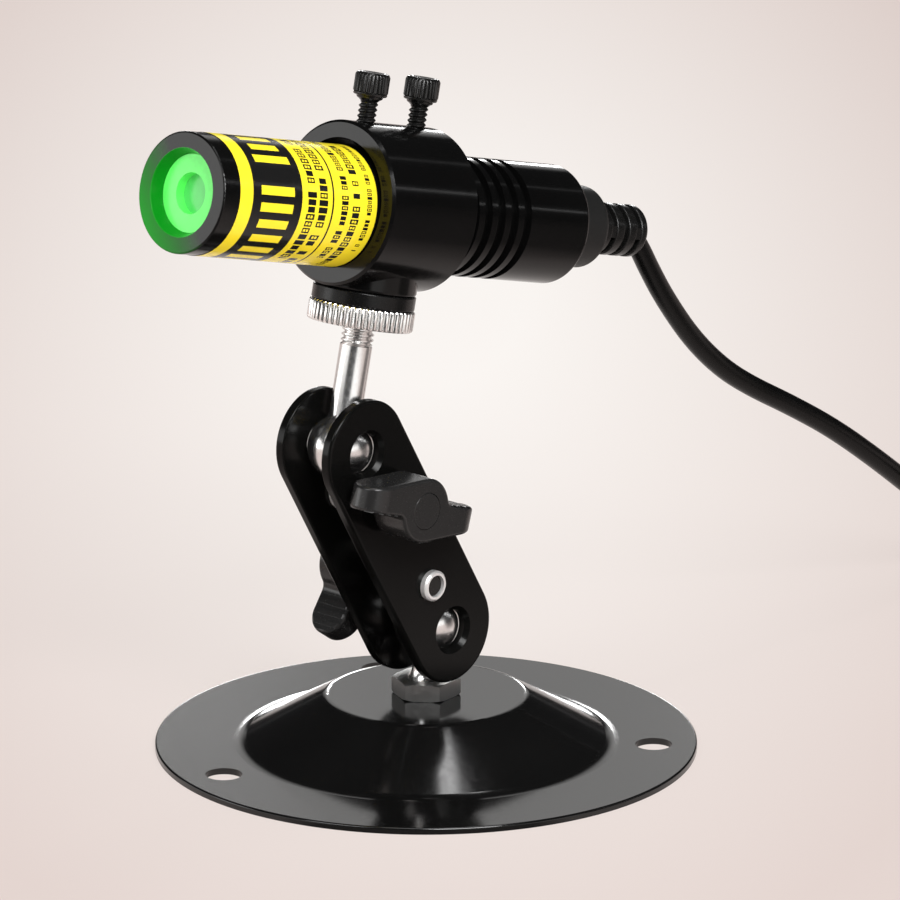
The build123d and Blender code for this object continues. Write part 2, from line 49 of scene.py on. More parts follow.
# Where things are, read from the frame's joints
upperBall = Vector(joints["upper_ball_tilt"]["pos_m"])
studAxis = Vector(joints["holder_swivel"]["axis"]).normalized()
backAxis = Vector(joints["module_slide"]["axis"]).normalized()
tubePlace = {"axisHeight": 43.74, "faceFromStud": 49.5}
tubeFront = upperBall + (studAxis * tubePlace["axisHeight"] - backAxis * tubePlace["faceFromStud"]) * mm
tubeSide = backAxis.cross(studAxis).normalized()


def placeAt(origin, zAxis, xAxis):
    z = zAxis.normalized()
    x = (xAxis - z * z.dot(xAxis)).normalized()
    y = z.cross(x)
    return Matrix.Translation(origin) @ Matrix((x, y, z)).transposed().to_4x4()


studPlace = placeAt(upperBall, studAxis, backAxis)
tubeAlong = placeAt(tubeFront, backAxis, studAxis)
uprightPlace = Matrix.Identity(4)

# Camera, at the photograph's viewing angle
cameraLook = {
    "azimuth": 43.35,
    "elevation": 17.36,
    "distance": 2.0,
    "target": Vector((3.20, 3.02, 56.98)) * mm,
    "lens": 437.4,
    "sensorWidth": 36,
    "clipRange": (0.05, 20),
}


def outwards(azimuth, elevation):
    # Unit vector away from the object: azimuth 0 points along -Y, and 90 along +X
    turn, rise = math.radians(azimuth), math.radians(elevation)
    return Vector((math.sin(turn) * math.cos(rise), -math.cos(turn) * math.cos(rise), math.sin(rise)))


def makeCamera(look):
    back = outwards(look["azimuth"], look["elevation"])
    camera = bpy.data.objects.new("camera", bpy.data.cameras.new("camera"))
    bpy.context.scene.collection.objects.link(camera)
    camera.data.lens = look["lens"]
    camera.data.sensor_width = look["sensorWidth"]
    camera.data.clip_start, camera.data.clip_end = look["clipRange"]
    camera.location = look["target"] + back * look["distance"]
    camera.rotation_mode = "QUATERNION"
    camera.rotation_quaternion = (-back).to_track_quat("-Z", "Y")
    bpy.context.scene.camera = camera


makeCamera(cameraLook)
print("camera placed")


# Materials
def addNode(tree, kind, **settings):
    node = tree.nodes.new("ShaderNode" + kind)
    for name, value in settings.items():
        setattr(node, name, value)
    return node


def feed(tree, socket, value):
    # A number or a colour is set on the socket, and another node's output is linked to it
    if isinstance(value, (int, float)):
        socket.default_value = value
    elif isinstance(value, tuple):
        socket.default_value = (*value, 1)
    else:
        tree.links.new(value, socket)


def newMaterial(name, **sockets):
    material = bpy.data.materials.new(name)
    material.use_nodes = True
    tree = material.node_tree
    shader = tree.nodes["Principled BSDF"]
    for socket, value in sockets.items():
        shader.inputs[socket.replace("_", " ")].default_value = value
    return material, tree, shader


def objectPoints(tree):
    return addNode(tree, "TexCoord").outputs["Object"]


def mathNode(tree, operation, *values):
    node = addNode(tree, "Math", operation=operation)
    for socket, value in zip(node.inputs, values):
        feed(tree, socket, value)
    return node.outputs[0]


def times(tree, first, second):
    return mathNode(tree, "MULTIPLY", first, second)


def larger(tree, first, second):
    return mathNode(tree, "MAXIMUM", first, second)


def below(tree, value, limit):
    return mathNode(tree, "LESS_THAN", value, limit)


def above(tree, value, limit):
    return mathNode(tree, "GREATER_THAN", value, limit)


def apart(tree, first, second):
    return mathNode(tree, "ABSOLUTE", mathNode(tree, "SUBTRACT", first, second))


def hypotenuse(tree, first, second):
    squares = [times(tree, side, side) for side in (first, second)]
    return mathNode(tree, "SQRT", mathNode(tree, "ADD", *squares))


def dotWith(tree, vector, axis):
    dot = addNode(tree, "VectorMath", operation="DOT_PRODUCT")
    tree.links.new(vector, dot.inputs[0])
    dot.inputs[1].default_value = axis
    return dot.outputs["Value"]


def noiseAt(tree, points, scale, detail):
    noise = addNode(tree, "TexNoise")
    noise.inputs["Scale"].default_value = scale
    noise.inputs["Detail"].default_value = detail
    tree.links.new(points, noise.inputs["Vector"])
    return noise.outputs["Fac"]


def rangeNode(tree, value, fromLow, fromHigh, toLow=0.0, toHigh=1.0):
    node = addNode(tree, "MapRange")
    sockets = ("Value", "From Min", "From Max", "To Min", "To Max")
    for socket, number in zip(sockets, (value, fromLow, fromHigh, toLow, toHigh)):
        feed(tree, node.inputs[socket], number)
    return node.outputs["Result"]


def bumpFrom(tree, shader, height, strength, distance):
    bump = addNode(tree, "Bump")
    bump.inputs["Strength"].default_value = strength
    bump.inputs["Distance"].default_value = distance
    tree.links.new(height, bump.inputs["Height"])
    tree.links.new(bump.outputs["Normal"], shader.inputs["Normal"])


# Where a Mix node has its factor, its two colours and its mixed colour
mixSockets = {"inputs": (0, 6, 7), "output": 2}


def mixColours(tree, factor, first, second):
    node = addNode(tree, "Mix", data_type="RGBA")
    for index, value in zip(mixSockets["inputs"], (factor, first, second)):
        feed(tree, node.inputs[index], value)
    return node.outputs[mixSockets["output"]]


# What every finish has unless it gives its own. The roughness runs between the two noise values of the spread
everyFinish = {
    "metal": 0.0,
    "ior": 1.5,
    "blotchScale": 60,
    "blotchDetail": 3.0,
    "grainDetail": 4.0,
    "spread": (0.3, 0.7),
}


def unevenGloss(tree, points, look):
    grain = noiseAt(tree, points, look["grainScale"], look["grainDetail"])
    return grain, rangeNode(tree, grain, *everyFinish["spread"], *look["roughness"])


def finishMaterial(name, ownLook):
    # One finish: a base colour that drifts a little, uneven gloss and a fine surface bump
    look = {**everyFinish, **ownLook}
    material, tree, shader = newMaterial(name, Metallic=look["metal"], IOR=look["ior"])
    points = objectPoints(tree)
    blotch = noiseAt(tree, points, look["blotchScale"], look["blotchDetail"])
    tree.links.new(mixColours(tree, blotch, *look["colours"]), shader.inputs["Base Color"])
    grain, roughness = unevenGloss(tree, points, look)
    tree.links.new(roughness, shader.inputs["Roughness"])
    bumpFrom(tree, shader, grain, look["bump"], look["bumpDepth"] * mm)
    return material


finishes = {
    "glossBlackPaint": {
        "colours": ((0.0028, 0.0028, 0.0028), (0.005, 0.0049, 0.0048)),
        "roughness": (0.1, 0.145), "grainScale": 900, "bump": 0.08, "bumpDepth": 0.008,
    },
    "platePaint": {
        "colours": ((0.0026, 0.0026, 0.0025), (0.0044, 0.0044, 0.0042)), "ior": 1.21,
        "roughness": (0.14, 0.2), "grainScale": 1300, "bump": 0.05, "bumpDepth": 0.006,
    },
    "anodisedBlack": {
        "colours": ((0.002, 0.002, 0.002), (0.0036, 0.0036, 0.0036)), "ior": 1.3,
        "roughness": (0.11, 0.16), "grainScale": 1600, "bump": 0.06, "bumpDepth": 0.005,
    },
    "nylonBlack": {
        "colours": ((0.012, 0.012, 0.0124), (0.018, 0.0178, 0.0175)), "ior": 1.42,
        "roughness": (0.22, 0.28), "grainScale": 2600, "bump": 0.1, "bumpDepth": 0.008,
    },
    "padBlack": {
        "colours": ((0.003, 0.003, 0.003), (0.0055, 0.0055, 0.0055)), "ior": 1.3,
        "roughness": (0.22, 0.3), "grainScale": 1800, "bump": 0.15, "bumpDepth": 0.01,
    },
    "polishedSteel": {
        "colours": ((0.82, 0.815, 0.81), (0.9, 0.895, 0.89)), "metal": 1.0,
        "roughness": (0.2, 0.27), "grainScale": 1500, "bump": 0.05, "bumpDepth": 0.005,
    },
    "zincSteel": {
        "colours": ((0.9, 0.895, 0.89), (0.96, 0.955, 0.95)), "metal": 0.55,
        "roughness": (0.32, 0.4), "grainScale": 2200, "bump": 0.12, "bumpDepth": 0.008,
    },
    "brightNut": {
        "colours": ((0.93, 0.925, 0.915), (0.97, 0.965, 0.955)), "metal": 1.0,
        "roughness": (0.18, 0.26), "grainScale": 2000, "bump": 0.06, "bumpDepth": 0.005,
    },
    "nutSteel": {
        "colours": ((0.7, 0.695, 0.68), (0.8, 0.795, 0.78)), "metal": 1.0,
        "roughness": (0.28, 0.38), "grainScale": 2600, "bump": 0.25, "bumpDepth": 0.01,
    },
    "blackOxide": {
        "colours": ((0.004, 0.004, 0.004), (0.009, 0.0088, 0.0085)), "metal": 0.1,
        "roughness": (0.18, 0.28), "grainScale": 2600, "bump": 0.12, "bumpDepth": 0.006,
    },
    "turnedBrass": {
        "colours": ((0.6, 0.42, 0.17), (0.72, 0.53, 0.24)), "metal": 1.0,
        "roughness": (0.2, 0.34), "grainScale": 2000, "bump": 0.15, "bumpDepth": 0.01,
    },
    "boardGreen": {
        "colours": ((0.012, 0.09, 0.035), (0.02, 0.13, 0.05)),
        "roughness": (0.3, 0.42), "grainScale": 1200, "bump": 0.15, "bumpDepth": 0.01,
    },
    "darkPlastic": {
        "colours": ((0.009, 0.009, 0.009), (0.014, 0.014, 0.0135)), "ior": 1.35,
        "roughness": (0.42, 0.52), "grainScale": 2400, "bump": 0.3, "bumpDepth": 0.012,
    },
    "reliefRubber": {
        "colours": ((0.004, 0.004, 0.004), (0.007, 0.0069, 0.0067)), "ior": 1.4,
        "roughness": (0.24, 0.33), "grainScale": 1800, "bump": 0.2, "bumpDepth": 0.01,
    },
    "strapCloth": {
        "colours": ((0.01, 0.01, 0.011), (0.022, 0.022, 0.023)),
        "roughness": (0.75, 0.9), "grainScale": 3200, "bump": 0.8, "bumpDepth": 0.05,
    },
    "cordRubber": {
        "colours": ((0.002, 0.002, 0.002), (0.004, 0.004, 0.0039)), "ior": 1.26,
        "roughness": (0.24, 0.31), "grainScale": 1800, "bump": 0.2, "bumpDepth": 0.01,
    },
}
materials = {name: finishMaterial(name, look) for name, look in finishes.items()}
print("plain finishes made", len(materials))

# Mouth of the tube: painted green light that fills the recess, with a painted glow, and painted green light
# fading over the front face
mouthLook = {
    "ior": 1.3,
    "recessRadius": 8.0,
    "recessDepth": 4.4,
    "radiusMargin": 0.06,
    "depthMargin": 0.1,
    "faceDepth": 0.2,
    "black": (0.003, 0.003, 0.003),
    "paintedMouthGreen": (0.002, 0.15, 0.006),
    "paintedSpillGreen": (0.01, 0.22, 0.016),
    "spillSide": -0.8,  # how much the painted green light on the face grows to one side and upwards
    "spillUp": -0.6,
    "spillFade": (-1.0, 12.0),  # where it starts and where it is full
    "grainScale": 1600,
    "grainDetail": 4.0,
    "roughness": (0.14, 0.2),
    "litRoughness": 0.5,  # added where the face is lit, which shines less than the bare part
    "mouthGlow": 0.35,
    "faceGlow": 0.45,
}
# The ring in the mouth and the lens, which shows fine slanting lines. Both carry a painted green glow, in
# their colour and their emission
glowLook = {
    "ring": {"name": "glowRing", "colour": (0.095, 0.77, 0.11), "glow": 0.35, "lines": False},
    "lens": {"name": "glowLens", "colour": (0.09, 0.56, 0.12), "glow": 0.3, "lines": True},
    "roughness": 0.3,
    "grainScale": 700,
    "grainDetail": 2.0,
    "darkest": 0.8,
    "lineGreen": (0.03, 0.42, 0.07),
    "lineRate": 14.0,
    "lineRange": (-0.2, 0.6),
    "lineShare": 0.45,
}


def tubeCoordinates(tree):
    # Distance along the tube, then the distances above and beside its axis, in millimetres
    points = objectPoints(tree)
    return [mathNode(tree, "MULTIPLY_ADD", dotWith(tree, points, axis), 1 / mm, -axis.dot(tubeFront) / mm)
            for axis in (backAxis, studAxis, tubeSide)]


def makeBarrelMaterial(look):
    material, tree, shader = newMaterial("barrelBlack", IOR=look["ior"])
    along, up, side = tubeCoordinates(tree)
    radius = hypotenuse(tree, up, side)
    inMouth = times(tree, below(tree, radius, look["recessRadius"] + look["radiusMargin"]),
                    below(tree, along, look["recessDepth"] + look["depthMargin"]))
    lean = mathNode(tree, "ADD", times(tree, side, look["spillSide"]), times(tree, up, look["spillUp"]))
    onFace = below(tree, along, look["faceDepth"])
    spill = times(tree, onFace, rangeNode(tree, lean, *look["spillFade"]))
    # Painted light: the green on the face and in the recess is painted colour and glow, not a lamp
    faceColour = mixColours(tree, spill, look["black"], look["paintedSpillGreen"])
    colour = mixColours(tree, inMouth, faceColour, look["paintedMouthGreen"])
    tree.links.new(colour, shader.inputs["Base Color"])
    tree.links.new(colour, shader.inputs["Emission Color"])
    _, bareRoughness = unevenGloss(tree, objectPoints(tree), look)
    roughness = mathNode(tree, "MULTIPLY_ADD", spill, look["litRoughness"], bareRoughness)
    tree.links.new(roughness, shader.inputs["Roughness"])
    glow = mathNode(tree, "ADD", times(tree, inMouth, look["mouthGlow"]),
                    times(tree, spill, look["faceGlow"]))
    tree.links.new(glow, shader.inputs["Emission Strength"])
    return material


def makeGlowMaterial(look, own):
    material, tree, shader = newMaterial(own["name"], Roughness=look["roughness"])
    grain = noiseAt(tree, objectPoints(tree), look["grainScale"], look["grainDetail"])
    shade = mixColours(tree, grain, tuple(look["darkest"] * c for c in own["colour"]), own["colour"])
    if own["lines"]:
        _, up, side = tubeCoordinates(tree)
        wave = mathNode(tree, "SINE", times(tree, mathNode(tree, "ADD", up, side), look["lineRate"]))
        lines = rangeNode(tree, wave, *look["lineRange"], 0.0, look["lineShare"])
        shade = mixColours(tree, lines, shade, look["lineGreen"])
    tree.links.new(shade, shader.inputs["Base Color"])
    tree.links.new(shade, shader.inputs["Emission Color"])
    shader.inputs["Emission Strength"].default_value = own["glow"]
    return material


# The wrap label: bands round the tube, with plain bars and ticks
labelLook = {
    "ior": 1.38,
    "yellow": (0.98, 0.8, 0.03),
    "ink": (0.009, 0.009, 0.009),
    "bands": ((3.9, 7.1), (19.4, 40.0)),
    "rings": ((27.2, 0.4),),
    "circumference": 69.1,
    "arcMiddle": 1.5,
    # Each row: place along the tube, height, length of one tick, share of it that is a gap, seed, share of
    # the ticks that is left out, and the part of the circumference that the row covers
    "yellowRow": (13.3, 8.4, 3.05, 0.46, 3.0, 0.14, (0.0, 1.0)),
    "inkRows": (
        (21.9, 2.1, 1.32, 0.2, 5.0, 0.13, (0.02, 0.92)),
        (24.8, 2.1, 1.32, 0.2, 7.0, 0.15, (0.05, 0.97)),
        (30.2, 1.6, 0.92, 0.22, 9.0, 0.15, (0.0, 0.9)),
        (33.1, 1.9, 1.16, 0.2, 11.0, 0.16, (0.06, 0.95)),
        (36.4, 1.15, 0.7, 0.24, 13.0, 0.2, (0.1, 0.86)),
    ),
    "seedStep": 17.3,
    "reachSeed": 1.7,
    "reachShares": (0.4, 0.54),  # from a row's middle to a tick's end, in shares of the row's height
    "openSeed": 4.1,
    "closedShare": 0.5,  # of the ticks, isn't open in the middle
    "openPlace": 0.17,  # of an open tick's two holes, from the row's middle, in shares of its height
    "openHeight": 0.12,  # half a hole, in shares of the row's height
    "openWidth": 0.24,  # half a hole, in shares of the tick's length
    "blotchScale": 120,
    "blotchDetail": 3.0,
    "darkest": 0.92,
    "grainScale": 1500,
    "grainDetail": 3.0,
    "roughness": (0.16, 0.24),
}


def cellRandom(tree, cells, seed):
    pick = addNode(tree, "TexWhiteNoise", noise_dimensions="1D")
    shifted = mathNode(tree, "ADD", mathNode(tree, "FLOOR", cells), seed * labelLook["seedStep"])
    tree.links.new(shifted, pick.inputs["W"])
    return pick.outputs["Value"]


def rowMask(tree, look, along, arc, row, mayOpen):
    # One line of ticks; some are short, some are open in the middle and some are left out
    place, height, tick, gapShare, seed, leftOut, (arcStart, arcEnd) = row
    shortReach, longReach = look["reachShares"]
    offset = apart(tree, along, place)
    cells = mathNode(tree, "DIVIDE", arc, tick)
    share = mathNode(tree, "FRACT", cells)
    pick = cellRandom(tree, cells, seed + look["reachSeed"])
    reach = rangeNode(tree, pick, 0.0, 1.0, height * shortReach, height * longReach)
    mask = times(tree, mathNode(tree, "LESS_THAN", offset, reach), above(tree, share, gapShare))
    mask = times(tree, mask, above(tree, cellRandom(tree, cells, seed), leftOut))
    if mayOpen:
        slot = apart(tree, share, (1 + gapShare) / 2)
        middle = apart(tree, offset, height * look["openPlace"])
        hole = times(tree, below(tree, slot, (1 - gapShare) * look["openWidth"]),
                     below(tree, middle, height * look["openHeight"]))
        isOpen = above(tree, cellRandom(tree, cells, seed + look["openSeed"]), look["closedShare"])
        mask = times(tree, mask, mathNode(tree, "SUBTRACT", 1.0, times(tree, hole, isOpen)))
    turn = mathNode(tree, "FRACT", mathNode(tree, "DIVIDE", arc, look["circumference"]))
    return times(tree, mask, times(tree, above(tree, turn, arcStart), below(tree, turn, arcEnd)))


def makeLabelMaterial(look):
    material, tree, shader = newMaterial("wrapLabel", IOR=look["ior"])
    along, up, side = tubeCoordinates(tree)
    # The length round the tube, from one to two circumferences, so that no tick's number is negative
    angle = mathNode(tree, "ARCTAN2", side, up)
    around = look["circumference"]
    arc = mathNode(tree, "MULTIPLY_ADD", angle, around / (2 * math.pi), around * look["arcMiddle"])
    yellow = rowMask(tree, look, along, arc, look["yellowRow"], False)
    for low, high in look["bands"]:
        yellow = larger(tree, yellow, times(tree, above(tree, along, low), below(tree, along, high)))
    ink = 0.0
    for row in look["inkRows"]:
        ink = larger(tree, ink, rowMask(tree, look, along, arc, row, True))
    for place, width in look["rings"]:
        ink = larger(tree, ink, below(tree, apart(tree, along, place), width / 2))
    shade = noiseAt(tree, objectPoints(tree), look["blotchScale"], look["blotchDetail"])
    paper = mixColours(tree, shade, look["yellow"], tuple(look["darkest"] * c for c in look["yellow"]))
    base = mixColours(tree, yellow, look["ink"], paper)
    tree.links.new(mixColours(tree, ink, base, look["ink"]), shader.inputs["Base Color"])
    _, roughness = unevenGloss(tree, objectPoints(tree), look)
    tree.links.new(roughness, shader.inputs["Roughness"])
    return material


materials["barrelBlack"] = makeBarrelMaterial(mouthLook)
materials["glowRing"] = makeGlowMaterial(glowLook, glowLook["ring"])
materials["glowLens"] = makeGlowMaterial(glowLook, glowLook["lens"])
materials["wrapLabel"] = makeLabelMaterial(labelLook)
print("label and mouth materials made")


# Mesh helpers. Points closer than these are joined, in millimetres
weld = {"piece": 0.002, "spin": 0.001, "thread": 0.004}


def finishPiece(bm, name, place, body, material, sharpAngle=32.0):
    bmesh.ops.remove_doubles(bm, verts=bm.verts, dist=weld["piece"])
    bmesh.ops.recalc_face_normals(bm, faces=bm.faces)
    for face in bm.faces:
        face.smooth = True
    for edge in bm.edges:
        if len(edge.link_faces) == 2:
            edge.smooth = edge.calc_face_angle(0.0) < math.radians(sharpAngle)
    mesh = bpy.data.meshes.new(name)
    bm.to_mesh(mesh)
    bm.free()
    mesh.transform(place @ Matrix.Scale(mm, 4))
    piece = bpy.data.objects.new(name, mesh)
    bpy.context.scene.collection.objects.link(piece)
    piece.data.materials.append(materials[material])
    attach(piece, body)
    return piece


def lineTo(bm, vertex, radius, height):
    made = bmesh.ops.extrude_vert_indiv(bm, verts=[vertex])["verts"][0]
    made.co = (radius, 0, height)
    return made


def arcPoints(centre, radius, fromDegrees, toDegrees, steps):
    # Points of an arc in the turning plane, 0 degrees outward and 90 degrees up the axis
    turns = [math.radians(fromDegrees + (toDegrees - fromDegrees) * i / steps) for i in range(steps + 1)]
    return [(centre[0] + radius * math.cos(t), centre[1] + radius * math.sin(t)) for t in turns]


def spinRound(bm, steps):
    bmesh.ops.spin(bm, geom=bm.verts[:] + bm.edges[:], cent=(0, 0, 0), axis=(0, 0, 1), dvec=(0, 0, 0),
                   angle=2 * math.pi, steps=steps, use_merge=True)
    bmesh.ops.remove_doubles(bm, verts=bm.verts, dist=weld["spin"])


def turnedShape(points, steps):
    # A closed turned shape from a line of (radius, height) points that starts and ends on the axis
    bm = bmesh.new()
    vertex = bm.verts.new((points[0][0], 0, points[0][1]))
    for radius, height in points[1:]:
        vertex = lineTo(bm, vertex, radius, height)
    spinRound(bm, steps)
    return bm


# A thread's line over one pitch: how deep below the crest and how far along, as shares. It starts so many
# pitches below the first cut
threadLook = {
    "line": ((0.8, 0.1), (0.05, 0.42), (0.05, 0.58), (0.8, 0.9), (1.0, 1.0)),
    "startBelow": 1.5,
    "spareTurns": 3,
    "steps": 48,
}


def threadInto(bm, size, low, high):
    # A right-hand thread: a zigzag line spun once round while it climbs one pitch, then cut off at both ends
    part = bmesh.new()
    radius, depth, pitch = size["thread"], size["threadDepth"], size["pitch"]
    start = low - threadLook["startBelow"] * pitch
    vertex = part.verts.new((radius - depth, 0, start))
    for turn in range(int((high - low) / pitch) + threadLook["spareTurns"]):
        base = start + turn * pitch
        for radial, rise in threadLook["line"]:
            vertex = lineTo(part, vertex, radius - radial * depth, base + rise * pitch)
    bmesh.ops.spin(part, geom=part.verts[:] + part.edges[:], cent=(0, 0, 0), axis=(0, 0, 1),
                   dvec=(0, 0, pitch / threadLook["steps"]), angle=2 * math.pi, steps=threadLook["steps"])
    bmesh.ops.remove_doubles(part, verts=part.verts, dist=weld["thread"])
    for height, normal in ((low, (0, 0, -1)), (high, (0, 0, 1))):
        cut = bmesh.ops.bisect_plane(part, geom=part.verts[:] + part.edges[:] + part.faces[:],
                                     plane_co=(0, 0, height), plane_no=normal, clear_outer=True)
        rim = [item for item in cut["geom_cut"] if isinstance(item, bmesh.types.BMEdge)]
        bmesh.ops.edgeloop_fill(part, edges=rim)
    mesh = bpy.data.meshes.new("thread")
    part.to_mesh(mesh)
    part.free()
    bm.from_mesh(mesh)
    bpy.data.meshes.remove(mesh)


# A knurled blank: points round each tooth, how narrow its valley is, and the least radius on the axis
knurlLook = {"perTooth": 6, "narrowing": 1.5, "leastRadius": 0.002}


def toothedStack(bm, radius, depth, count, layers):
    # Grows the blank ring by ring. Each layer: widest radius there, height, share of the tooth's depth
    steps = count * knurlLook["perTooth"]
    ring = bmesh.ops.create_circle(bm, cap_ends=False, segments=steps, radius=1)["verts"]
    edges = list({edge for vertex in ring for edge in vertex.link_edges})
    for index, (widest, height, share) in enumerate(layers):
        if index:
            grown = bmesh.ops.extrude_edge_only(bm, edges=edges)["geom"]
            ring = [item for item in grown if isinstance(item, bmesh.types.BMVert)]
            inRing = set(ring)
            near = {edge for vertex in ring for edge in vertex.link_edges}
            edges = [edge for edge in near if inRing.issuperset(edge.verts)]
        for vertex in ring:
            angle = math.atan2(vertex.co.y, vertex.co.x)
            valley = max(0.0, math.cos(angle * count)) ** knurlLook["narrowing"]
            across = max(knurlLook["leastRadius"], min(widest, radius - depth * share * valley))
            vertex.co = (across * math.cos(angle), across * math.sin(angle), height)
    bmesh.ops.holes_fill(bm, edges=bm.edges[:], sides=0)


# Cord: the route's points repeat the part's, then the put-away coil, then the free end
cordLook = {
    "diameter": 4.0, "firstRun": 3.25, "reliefEnd": 112.4, "length": 0.938, "roundSteps": 8, "lengthSteps": 6,
}
cordLead = [
    (2.1, 55.4, 84.1),
    (2.0, 58.1, 79.6),
    (1.8, 62.7, 72.8),
    (1.4, 70.7, 63.2),
    (1.5, 79.0, 55.6),
    (1.8, 87.1, 50.2),
    (2.6, 97.4, 44.4),
    (3.4, 108.8, 37.4),
    (3.8, 121.0, 28.6),
    (3.2, 135.0, 18.1),
    (1.5, 149.2, 7.5),
    (-0.7, 161.0, 2.4),
]
cordEnd = [(40.1, 197.2, 6.2), (48.1, 189.8, 5.6), (56.6, 183.4, 5.0), (66.0, 177.8, 5.0)]
coilLook = {
    "centre": (21.2, 179.4),
    "radii": (26.0, 22.0, 18.0),
    "lowerLayer": 2.55,
    "layerStep": 4.0,
    "startAngle": 195.6,
    "turned": 1952.3,
    "pointsPerTurn": 24,
    # degrees turned where the radius goes in twice and out twice, where the upper layer starts, and how
    # many degrees each such change takes
    "radiusChanges": (300, 660, 1260, 1620),
    "layerChange": 960,
    "change": 60,
}


def smoothStep(value):
    share = min(1.0, max(0.0, value))
    return share * share * (3 - 2 * share)


def coilRadius(look, turned):
    # Inward in the lower layer, then outward in the upper one
    outer, middle, inner = look["radii"]
    changes = (middle - outer, inner - middle, middle - inner, outer - middle)
    radius = outer
    for start, change in zip(look["radiusChanges"], changes):
        radius += change * smoothStep((turned - start) / look["change"])
    return radius


def coilPoints(look):
    step = 360 / look["pointsPerTurn"]
    # The cord's spline of order 3 runs inside its points, at about this share of their radius
    inside = 0.75 + 0.25 * math.cos(math.radians(step))
    points = []
    for index in range(1, int(look["turned"] / step)):
        turned = index * step
        angle = math.radians(look["startAngle"] - turned)
        radius = coilRadius(look, turned) / inside
        rise = smoothStep((turned - look["layerChange"]) / look["change"])
        height = look["lowerLayer"] + look["layerStep"] * rise
        points.append((look["centre"][0] + radius * math.cos(angle),
                       look["centre"][1] + radius * math.sin(angle), height))
    return points


# Ball studs: each thread's insets are from its start and its end
studLook = {"ballSteps": 40, "steps": 72, "coreOverlap": 0.04, "tipBevel": 0.4}
upperStudLook = {
    "ball": 6.0, "shank": 2.98, "threadStart": 19.04, "end": 32.04, "thread": 3.0, "threadDepth": 0.56,
    "pitch": 1.0, "shoulder": 0.3, "shoulderRun": 0.12, "threadInsets": (0.1, 0.5),
    "neckBlend": 0.9, "neckMeetShare": 0.35, "neckBendShare": 0.4, "neckGrow": 0.1,
}
lowerStudLook = {
    "ball": 6.0, "ballHeight": 23.85, "neck": 2.5, "neckGrow": 0.25, "neckDrop": 0.5, "flare": 3.5,
    "flareFoot": 13.35, "flareTop": 15.9, "flareShares": (0.25, 0.5, 0.75, 0.9, 1.0), "flarePower": 2.4,
    "tail": 2.45, "thread": 3.0, "threadDepth": 0.56, "pitch": 1.0, "threadInsets": (0.3, 0.1),
}


def makeUpperStud(look):
    core = look["thread"] - look["threadDepth"] + studLook["coreOverlap"]
    shank, start, end = look["shank"], look["threadStart"], look["end"]
    meet = math.degrees(math.acos((shank + look["neckBlend"] * look["neckMeetShare"]) / look["ball"]))
    ballTop = look["ball"] * math.sin(math.radians(meet))
    points = arcPoints((0, 0), look["ball"], -90, meet, studLook["ballSteps"])
    points[0] = (0, -look["ball"])
    points += [
        (shank + look["neckGrow"], ballTop + look["neckBlend"] * look["neckBendShare"]),
        (shank, ballTop + look["neckBlend"]),
        (shank, start - look["shoulder"]),
        (shank - look["shoulder"], start),
        (core, start + look["shoulderRun"]),
        (core, end - studLook["tipBevel"]),
        (core - studLook["tipBevel"], end),
        (0, end),
    ]
    bm = turnedShape(points, studLook["steps"])
    startInset, endInset = look["threadInsets"]
    threadInto(bm, look, start + startInset, end - endInset)
    stud = finishPiece(bm, "upperBallStud", studPlace, "upper_stud", "polishedSteel")
    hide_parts("upper_ball_stud")


def makeLowerStud(look):
    core = look["thread"] - look["threadDepth"] + studLook["coreOverlap"]
    middle, tail = look["ballHeight"], look["tail"]
    meet = -math.degrees(math.acos((look["neck"] + look["neckGrow"]) / look["ball"]))
    neckTop = middle + look["ball"] * math.sin(math.radians(meet)) - look["neckDrop"]
    points = arcPoints((0, middle), look["ball"], 90, meet, studLook["ballSteps"])
    points[0] = (0, middle + look["ball"])
    points += [(look["neck"], neckTop), (look["neck"], look["flareTop"])]
    rise, reach = look["flareTop"] - look["flareFoot"], look["flare"] - look["neck"]
    for share in look["flareShares"]:
        points.append((look["neck"] + reach * share ** look["flarePower"], look["flareTop"] - rise * share))
    startInset, endInset = look["threadInsets"]
    points += [
        (core, look["flareFoot"] - endInset),
        (core, tail + studLook["tipBevel"]),
        (core - studLook["tipBevel"], tail),
        (0, tail),
    ]
    bm = turnedShape(points, studLook["steps"])
    threadInto(bm, look, tail + startInset, look["flareFoot"] - endInset)
    stud = finishPiece(bm, "lowerBallStud", uprightPlace, "lower_stud", "polishedSteel")
    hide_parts("lower_ball_stud")


makeUpperStud(upperStudLook)
makeLowerStud(lowerStudLook)
print("ball studs made")

# Knurled lock nut, with rounded ridges that end in a bevel
nutLook = {
    "radius": 9.7, "depth": 0.46, "count": 50, "bottom": 22.44, "thickness": 3.9, "sharpAngle": 38.0,
    "bevel": 0.42, "bevelShare": 0.35, "bore": 3.02, "boreBevel": (0.5, 0.3),
}


def makeKnurledNut(look):
    bm = bmesh.new()
    low, high = look["bottom"], look["bottom"] + look["thickness"]
    bevel, radius, bore = look["bevel"], look["radius"], look["bore"]
    part = bevel * look["bevelShare"]
    boreGrow, boreRise = look["boreBevel"]
    toothedStack(bm, radius, look["depth"], look["count"], (
        (bore, low + boreRise, 0),
        (bore + boreGrow, low, 0),
        (radius - bevel, low, 1),
        (radius - part, low + part, 1),
        (radius, low + bevel, 1),
        (radius, high - bevel, 1),
        (radius - part, high - part, 1),
        (radius - bevel, high, 1),
        (bore, high, 0),
    ))
    nut = finishPiece(bm, "knurledNut", studPlace, "lock_nut", "brightNut", look["sharpAngle"])
    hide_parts("knurled_nut")


makeKnurledNut(nutLook)
print("knurled nut made")

